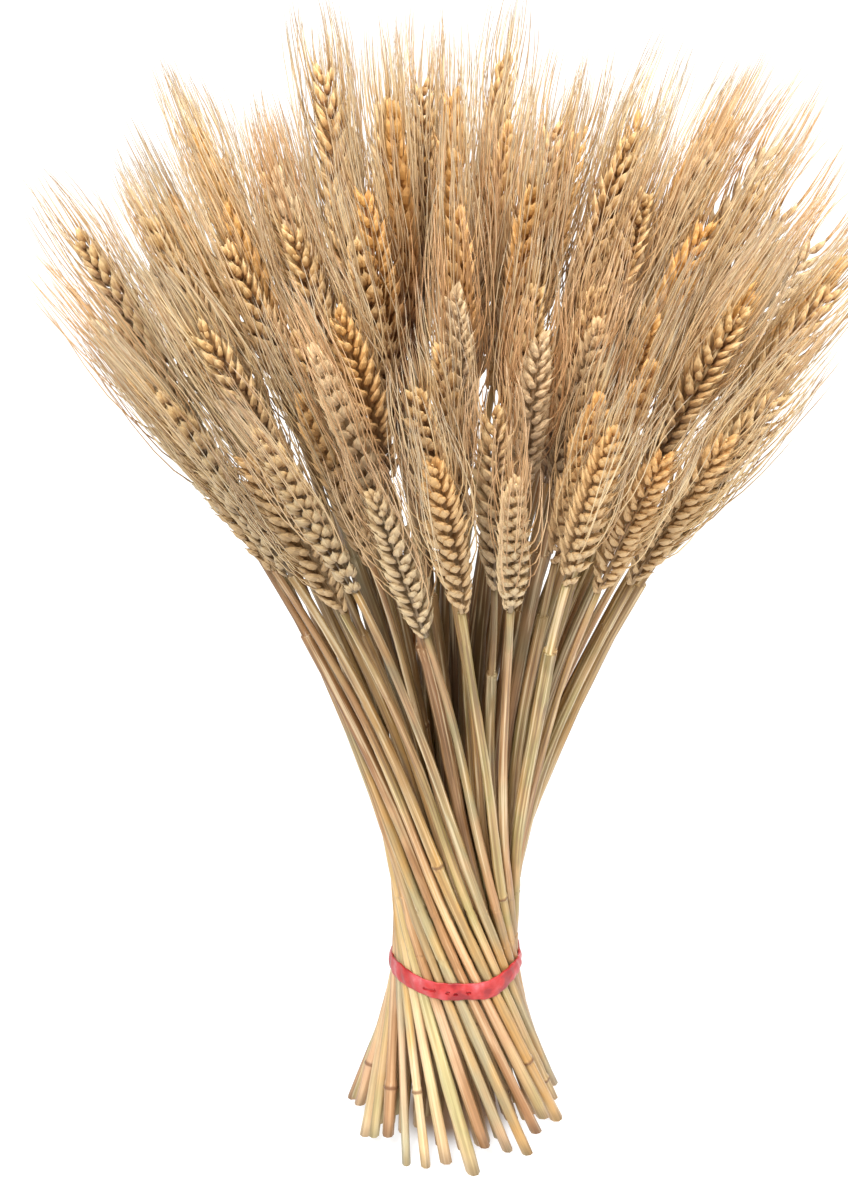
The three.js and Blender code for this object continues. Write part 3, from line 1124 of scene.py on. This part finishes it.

# %% [markdown]
# ## Painted shade on the left side
#
# The left side of the bundle, under the top of the head, gets painted shade: its colours are
# darkened as if less light fell there. One function darkens any colour there, and the finishes of
# straw, husks and awns all end with it.

# %% Paint shade on one side
LEFT_SHADE_ACROSS = (0.03, -0.08)  # across the bundle, from no painted shade to all of it
LEFT_SHADE_TOP = (0.38, 0.28)  # the same downwards from the top
LEFT_SHADE_STEMS = (0.12, 0.2)  # and upwards from the waist
LEFT_SHADE_SHARE = 0.6


def shaded_on_left(finish, shade):
    """A colour, darkened with painted shade on the left side."""
    is_left = finish.step(finish.along("X"), *LEFT_SHADE_ACROSS)
    is_under = finish.step(finish.height(), *LEFT_SHADE_TOP) * finish.step(finish.height(), *LEFT_SHADE_STEMS)
    return finish.tint(is_left * is_under * LEFT_SHADE_SHARE, shade, colour(196, 196, 196))


# the most painted shade that the left side gets
print("the dull side is laid on by", round(100 * LEFT_SHADE_SHARE), "percent")

# %% [markdown]
# ## The straw's finish
#
# Dry straw is silky, with fibres that run its whole length, and hardly two straws have the same
# colour: some are still greenish, some rosy, some the yellow of straw hats. So a ramp gives each
# stalk its colour, and broad bands shift it along the stalk. Long stretched noises lay pale and
# brown fibres over it, which are fainter on the foot. Higher up, the straw gets painted shade for
# the shade of the head over it, so the foot is paler than the rest. At the right the foot gets
# painted shade too, away from the light. Round the waist the straw is the most golden. The heart
# of the bundle is darkened with painted shade, as little light gets in, and joints are brown.

# %% Mix the straw
HEAD_SHADE_HEIGHTS = (0.07, 0.18)  # heights, from none of the painted shade on the straw to all of it
GOLDEN_FROM = (0.05, 0.085)
GOLDEN_TO = (0.17, 0.11)
RIGHT_SHADE_HEIGHTS = (0.15, 0.07)
RIGHT_SHADE_ACROSS = (-0.012, 0.026)  # across the bundle
FAINTEST = 0.45  # how strong the fibres are on the foot


def mix_straw():
    straw = Finish("dry_straw")
    grain = straw.note("grain", "Vector")
    fibres = straw.noise(straw.stretch(grain, (1, 1, 0.012)), 1100, 3)
    threads = straw.noise(straw.stretch(grain, (1, 1, 0.02)), 2800, 2)
    bands = straw.noise(straw.stretch(grain, (0.4, 0.4, 0.12)), 200, 3)
    base = straw.ramp(straw.note("stalk_tint") + bands * 0.8 - 0.4, [
        (0.0, colour(208, 170, 134)),
        (0.12, colour(216, 190, 148)),
        (0.26, colour(182, 174, 126)),
        (0.38, colour(214, 182, 132)),
        (0.5, colour(212, 190, 154)),
        (0.62, colour(208, 172, 112)),
        (0.74, colour(174, 168, 138)),
        (0.88, colour(212, 178, 144)),
        (1.0, colour(176, 136, 98)),
    ])
    is_high = straw.step(straw.height(), *HEAD_SHADE_HEIGHTS)
    # painted shade: the head shades the straw above the waist
    head_shaded = straw.tint(is_high * 0.75, base, colour(202, 182, 138))
    is_waist = straw.step(straw.height(), *GOLDEN_FROM) * straw.step(straw.height(), *GOLDEN_TO)
    golden = straw.tint(is_waist * 0.7, head_shaded, colour(248, 236, 206))
    # painted shade on the right of the foot, away from the key light
    is_right = straw.step(straw.along("X"), *RIGHT_SHADE_ACROSS)
    is_right_shaded = is_right * straw.step(straw.height(), *RIGHT_SHADE_HEIGHTS)
    right_shaded = straw.tint(is_right_shaded * 0.6, golden, colour(212, 188, 158))
    # painted shade: straw deep in the bundle is darkened, as little light reaches it
    inner = straw.tint(straw.note("depth") * 0.82, right_shaded, colour(122, 86, 58))
    stains = straw.step(straw.noise(straw.stretch(grain, (1, 1, 0.25)), 60, 3), 0.52, 0.68)
    stained = straw.blend(stains * 0.3, inner, colour(158, 110, 72))
    vivid = FAINTEST + is_high * (1 - FAINTEST)
    is_pale = straw.step(fibres, 0.47, 0.34) * vivid
    is_brown = straw.step(fibres, 0.5, 0.62) * vivid
    bright = straw.blend(is_pale * 0.6, stained, colour(238, 220, 182))
    streaked = straw.blend(is_brown * 0.7, bright, colour(112, 82, 50))
    is_joint = straw.step(straw.note("share"), 0.25, 0.8)
    jointed = straw.blend(is_joint * 0.75, streaked, colour(104, 66, 40))
    straw.set(Base_Color=shaded_on_left(straw, jointed), Roughness=0.32 + threads * 0.25)
    straw.bump(threads, 0.22, 0.0003)
    return straw.material


straw_finish = mix_straw()
print("straw has", len(straw_finish.node_tree.nodes), "nodes")

# %% [markdown]
# ## The husks' finish
#
# A husk is painted dark brown at its foot, as shade in the gap where it sits, and it is bleached
# towards its tip, with fine nerves that run along it. Whole ears differ: some stay pale, some ripen
# to gold, and the low ears at the rim are greyer from handling. Deep in the bundle less light gets
# through, and a brown tint there keeps the gaps between the ears warm.

# %% Mix the husks
LOW_EARS = (0.345, 0.27)  # heights, from no grey on the husks to all of it
PALE_STALKS = (0.7, 1.0)  # the stalks' own tints, in the same way
RIPE_STALKS = (0.45, 0.1)


def mix_husk():
    husk = Finish("dry_husk")
    grain = husk.note("grain", "Vector")
    nerves = husk.noise(husk.stretch(grain, (1, 1, 0.06)), 2000, 2)
    cloud = husk.noise(grain, 350, 2)
    # the dark foot of this ramp is painted shade in the gap under each husk
    skin_and_gap_shade = husk.ramp(husk.note("share") + cloud * 0.25 - 0.12, [
        (0.0, colour(70, 40, 20)),
        (0.25, colour(136, 90, 50)),
        (0.48, colour(204, 166, 112)),
        (0.8, colour(240, 216, 168)),
        (1.0, colour(236, 208, 158)),
    ])
    golden = husk.blend(husk.note("tint") * 0.3, skin_and_gap_shade, colour(214, 170, 98))
    is_pale = husk.step(husk.note("stalk_tint"), *PALE_STALKS)
    pale = husk.blend(is_pale * 0.65, golden, colour(226, 206, 172))
    is_ripe = husk.step(husk.note("stalk_tint"), *RIPE_STALKS)
    ripe = husk.blend(is_ripe * 0.6, pale, colour(224, 166, 84))
    is_low = husk.step(husk.height(), *LOW_EARS)
    grey = husk.blend(is_low * 0.5, ripe, colour(192, 178, 148))
    lined = husk.blend(husk.step(nerves, 0.5, 0.66) * 0.35, grey, colour(126, 88, 48))
    shaded = husk.note("depth") * (1 - husk.note("rise"))
    deep = husk.tint(shaded, lined, colour(150, 100, 62))
    husk.set(Base_Color=shaded_on_left(husk, deep), Roughness=0.5 + nerves * 0.2)
    husk.bump(nerves, 0.3, 0.0002)
    return husk.material


husk_finish = mix_husk()
print("husks have", len(husk_finish.node_tree.nodes), "nodes")

# %% [markdown]
# ## The awns' finish
#
# Awns are gold at the husk, pale further up and grey at their tips. Side by side they would melt
# into one sheet if they were all alike, so every awn has its own tint, from pale to brown.

# %% Mix the awns
def mix_awn():
    awn = Finish("dry_awn")
    along = awn.note("share")
    body = awn.ramp(along, [
        (0.0, colour(214, 178, 120)),
        (0.6, colour(235, 213, 172)),
        (1.0, colour(146, 136, 124)),
    ])
    is_rosy = awn.step(awn.note("stalk_tint"), 0.5, 1.0)
    rosy = awn.blend(is_rosy * 0.65, body, colour(226, 176, 124))
    is_brown = awn.step(awn.note("tint"), 0.35, 1.0)
    toned = awn.blend(is_brown * 0.7, rosy, colour(158, 112, 64))
    shaded = awn.note("depth") * (1 - awn.note("rise")) * (1 - along)
    deep = awn.tint(shaded, toned, colour(150, 100, 62))
    awn.set(Base_Color=shaded_on_left(awn, deep), Roughness=0.5 + along * 0.1)
    return awn.material


awn_finish = mix_awn()
print("awns have", len(awn_finish.node_tree.nodes), "nodes")

# %% [markdown]
# ## The bundle
#
# Now every stalk is grown along its own line. The frame keeps the stalks of the two outer rings
# as nodes of their own and joins those of the heart in four, so the pieces here are joined in the
# same way, and each takes the place of its node.

# %% Grow the bundle
def finish_piece(piece, name, node):
    piece.name = name
    piece.data.name = name
    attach(piece, "root")
    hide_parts(node)


def join_pieces(pieces):
    bpy.ops.object.select_all(action="DESELECT")
    for piece in pieces:
        piece.select_set(True)
    bpy.context.view_layer.objects.active = pieces[0]
    if len(pieces) > 1:
        bpy.ops.object.join()
    return pieces[0]


def node_of(stalk):
    """The frame's node that a stalk belongs to."""
    if stalk.ring >= RINGS - 1:
        side = "outer" if stalk.ring == RINGS else "inner"
        return f"{side}_stalk_{stalk.place + 1:02d}"
    if stalk.ring <= 1:
        return "core_stalks_heart"
    return "core_stalks_" + "abc"[3 * stalk.place // ring_count(stalk.ring)]


finishes = (straw_finish, husk_finish, awn_finish)
groups = {}
for number, stalk in enumerate(stalks):
    groups.setdefault(node_of(stalk), []).append(grow_stalk(stalk, number, finishes))
for node, pieces in groups.items():
    finish_piece(join_pieces(pieces), node.replace("stalk", "wheat"), node)
print(len(groups), "pieces of wheat")

# %% [markdown]
# ## The rubber band
#
# The band is a flat loop of red rubber, pulled tight, which bulges a little over its middle. A
# circle is extruded upwards row by row, widened to follow the stalks under it and turned as they
# turn, so that each of its columns lies either on a stalk or over the hollow between two.

# %% Model the band
BAND_COLUMNS = 2 * ring_count(RINGS)
BAND_ROW_PLACES = [-1, -0.86, -0.3, 0.3, 0.86, 1]  # from its lower to its upper edge
BAND_GAP = 0.0001
BAND_WALL = 0.0009
BAND_CROWN = 0.0006
band_middle = (band_low.z + band_high.z) / 2
band_half = (band_high.z - band_low.z) / 2
first_rim_stalk = next(stalk for stalk in stalks if stalk.ring == RINGS)


def band_radius(height):
    crown = BAND_CROWN * (1 - ((height - band_middle) / band_half) ** 2)
    return PITCH * RINGS * spread(height)[0] + STEM_RADIUS + BAND_GAP + BAND_WALL + crown


def model_band():
    heights = [band_middle + share * band_half for share in BAND_ROW_PLACES]
    bpy.ops.object.select_all(action="DESELECT")
    bpy.ops.mesh.primitive_circle_add(
        vertices=BAND_COLUMNS,
        radius=band_radius(heights[0]),
        location=(axis.x, axis.y, heights[0]),
        rotation=(0, 0, first_rim_stalk.angle + spread(heights[0])[1]),
    )
    band = bpy.context.object
    bpy.ops.object.transform_apply(location=True, rotation=True)
    edit_all("VERT")
    for low, high in zip(heights, heights[1:]):
        bpy.ops.mesh.extrude_region_move(TRANSFORM_OT_translate={"value": (0, 0, high - low)})
        wider = band_radius(high) / band_radius(low)
        turn = spread(high)[1] - spread(low)[1]
        centre = (axis.x, axis.y, high)
        bpy.ops.transform.resize(value=(wider, wider, 1), center_override=centre)
        bpy.ops.transform.rotate(value=-turn, orient_axis="Z", center_override=centre)
    turn_outwards()
    return band


band = model_band()
print("the band is", round(2000 * band_radius(band_middle), 1), "mm wide")

# %% [markdown]
# ## How the band sits
#
# Tight rubber sinks wherever two stalks leave a hollow under it, so the columns over hollows are
# pressed in. Its edges lie unevenly, because the stalks push them up and down, and a few soft
# moves with proportional editing do the same. Then Solidify gives the wall, and Subdivision
# Surface rounds it all.

# %% Press the band
BAND_PRESS = 0.0009
BAND_WAVES = [  # degrees round the axis, upper or lower edge, rise
    (165, 1, -0.0034),
    (-172, 1, -0.0012),
    (-150, 1, 0.0005),
    (-112, 1, -0.0005),
    (-70, 1, -0.0009),
    (-40, 1, -0.0004),
    (0, 1, -0.0026),
    (-130, -1, 0.0004),
    (-95, -1, -0.0004),
    (-58, -1, -0.0018),
]
WAVE_REACH = 0.009


def around(place):
    """The direction of a place round the axis, and how far it is from the axis."""
    return math.atan2(place.y - axis.y, place.x - axis.x), (place.xy - axis.xy).length


def is_over_hollow(place):
    angle = around(place)[0] - first_rim_stalk.angle - spread(round(place.z, 6))[1]
    return math.cos(ring_count(RINGS) * angle) < 0


def press_band(band):
    bpy.ops.object.mode_set(mode="EDIT")
    pick(band, is_over_hollow)
    press = 1 - BAND_PRESS / band_radius(band_middle)
    bpy.ops.transform.resize(value=(press, press, 1), center_override=(axis.x, axis.y, 0))
    for degrees, side, rise in BAND_WAVES:
        wave = math.radians(degrees)
        edge = band_middle + side * band_half
        crest = Vector((math.cos(wave), math.sin(wave), 0)) * band_radius(edge)
        crest += Vector((axis.x, axis.y, edge))
        pick(band, lambda place: (place - crest).length < WAVE_REACH / 4)
        bpy.ops.transform.translate(
            value=(0, 0, rise), use_proportional_edit=True, proportional_size=WAVE_REACH
        )
    bpy.ops.object.mode_set(mode="OBJECT")


def apply_modifier(thing, kind, **settings):
    modifier = thing.modifiers.new(kind, kind)
    for name, value in settings.items():
        setattr(modifier, name, value)
    bpy.ops.object.modifier_apply(modifier=modifier.name)


press_band(band)
apply_modifier(band, "SOLIDIFY", thickness=BAND_WALL, offset=-1)
apply_modifier(band, "SUBSURF", levels=2, render_levels=2)
print("the band has", len(band.data.polygons), "faces")

# %% [markdown]
# ## The pits
#
# Such a band is moulded, and the mould leaves a row of small pits on it. They are bare dents
# here: a few faces on the front are found by their place, inset and sunk in.

# %% Press the pits
# Degrees round the axis, level in halves of the width, and half the length
BAND_PITS = [
    (-113.6, -0.1, 0.0025),
    (-97, -0.2, 0.0007),
    (-90, -0.2, 0.0008),
    (-79, -0.2, 0.0009),
]
PIT_HALF_HEIGHT = 0.0006
PIT_RIM = 0.00006
PIT_DEPTH = 0.0007
SMOOTH_ANGLE = math.radians(40)
FACING = 0.5  # the least share of a face's normal that points outwards on the outer side


def press_pit(band, degrees, level, half_length):
    bpy.ops.mesh.select_mode(type="FACE")
    bpy.ops.mesh.select_all(action="DESELECT")
    mesh = bmesh.from_edit_mesh(band.data)
    for face in mesh.faces:
        middle = face.calc_center_median()
        angle, distance = around(middle)
        outwards = Vector((math.cos(angle), math.sin(angle), 0))
        is_outside = face.normal.dot(outwards) > FACING
        off = abs(angle - math.radians(degrees)) * distance
        rise = abs(middle.z - band_middle - level * band_half)
        face.select_set(is_outside and off < half_length and rise < PIT_HALF_HEIGHT)
    bmesh.update_edit_mesh(band.data)
    bpy.ops.mesh.inset(thickness=PIT_RIM, depth=-PIT_DEPTH)


bpy.ops.object.mode_set(mode="EDIT")
for pit in BAND_PITS:
    press_pit(band, *pit)
bpy.ops.object.mode_set(mode="OBJECT")
bpy.ops.object.shade_smooth_by_angle(angle=SMOOTH_ANGLE)
print(len(BAND_PITS), "pits in the band")

# %% [markdown]
# ## The band's finish
#
# Rubber is coloured right through and has a dull shine. A broad noise mixes deep and bright reds
# in soft patches, and its pale pink patches are painted highlights of that shine; the noise also
# lifts the surface a little.

# %% Mix the rubber and finish the band
def mix_rubber():
    rubber = Finish("red_rubber")
    tone_and_sheen_patches = rubber.noise(rubber.place(), 160, 4)
    # the pale pink stops are painted highlights; the deeper reds are the rubber's own tones
    base = rubber.ramp(tone_and_sheen_patches, [
        (0.36, colour(142, 26, 34)),
        (0.48, colour(178, 44, 44)),
        (0.6, colour(188, 72, 78)),
        (0.7, colour(198, 112, 118)),
    ])
    rubber.set(Base_Color=base, Roughness=0.3 + tone_and_sheen_patches * 0.15)
    rubber.bump(tone_and_sheen_patches, 0.6, 0.0008)
    return rubber.material


band.name = "rubber_band"
band.data.materials.append(mix_rubber())
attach(band, "root")
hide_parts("band")
print("finished with", band.data.materials[0].name)

# %% [markdown]
# ## The corners of a box
#
# The dressed bundle has to stay within the frame's box but for a little. A box is kept as its
# two corners, rounded to a hundredth of a millimetre.

# %% Round the corners of a box
def corners(box):
    return [[round(value, 5) for value in corner] for corner in box]
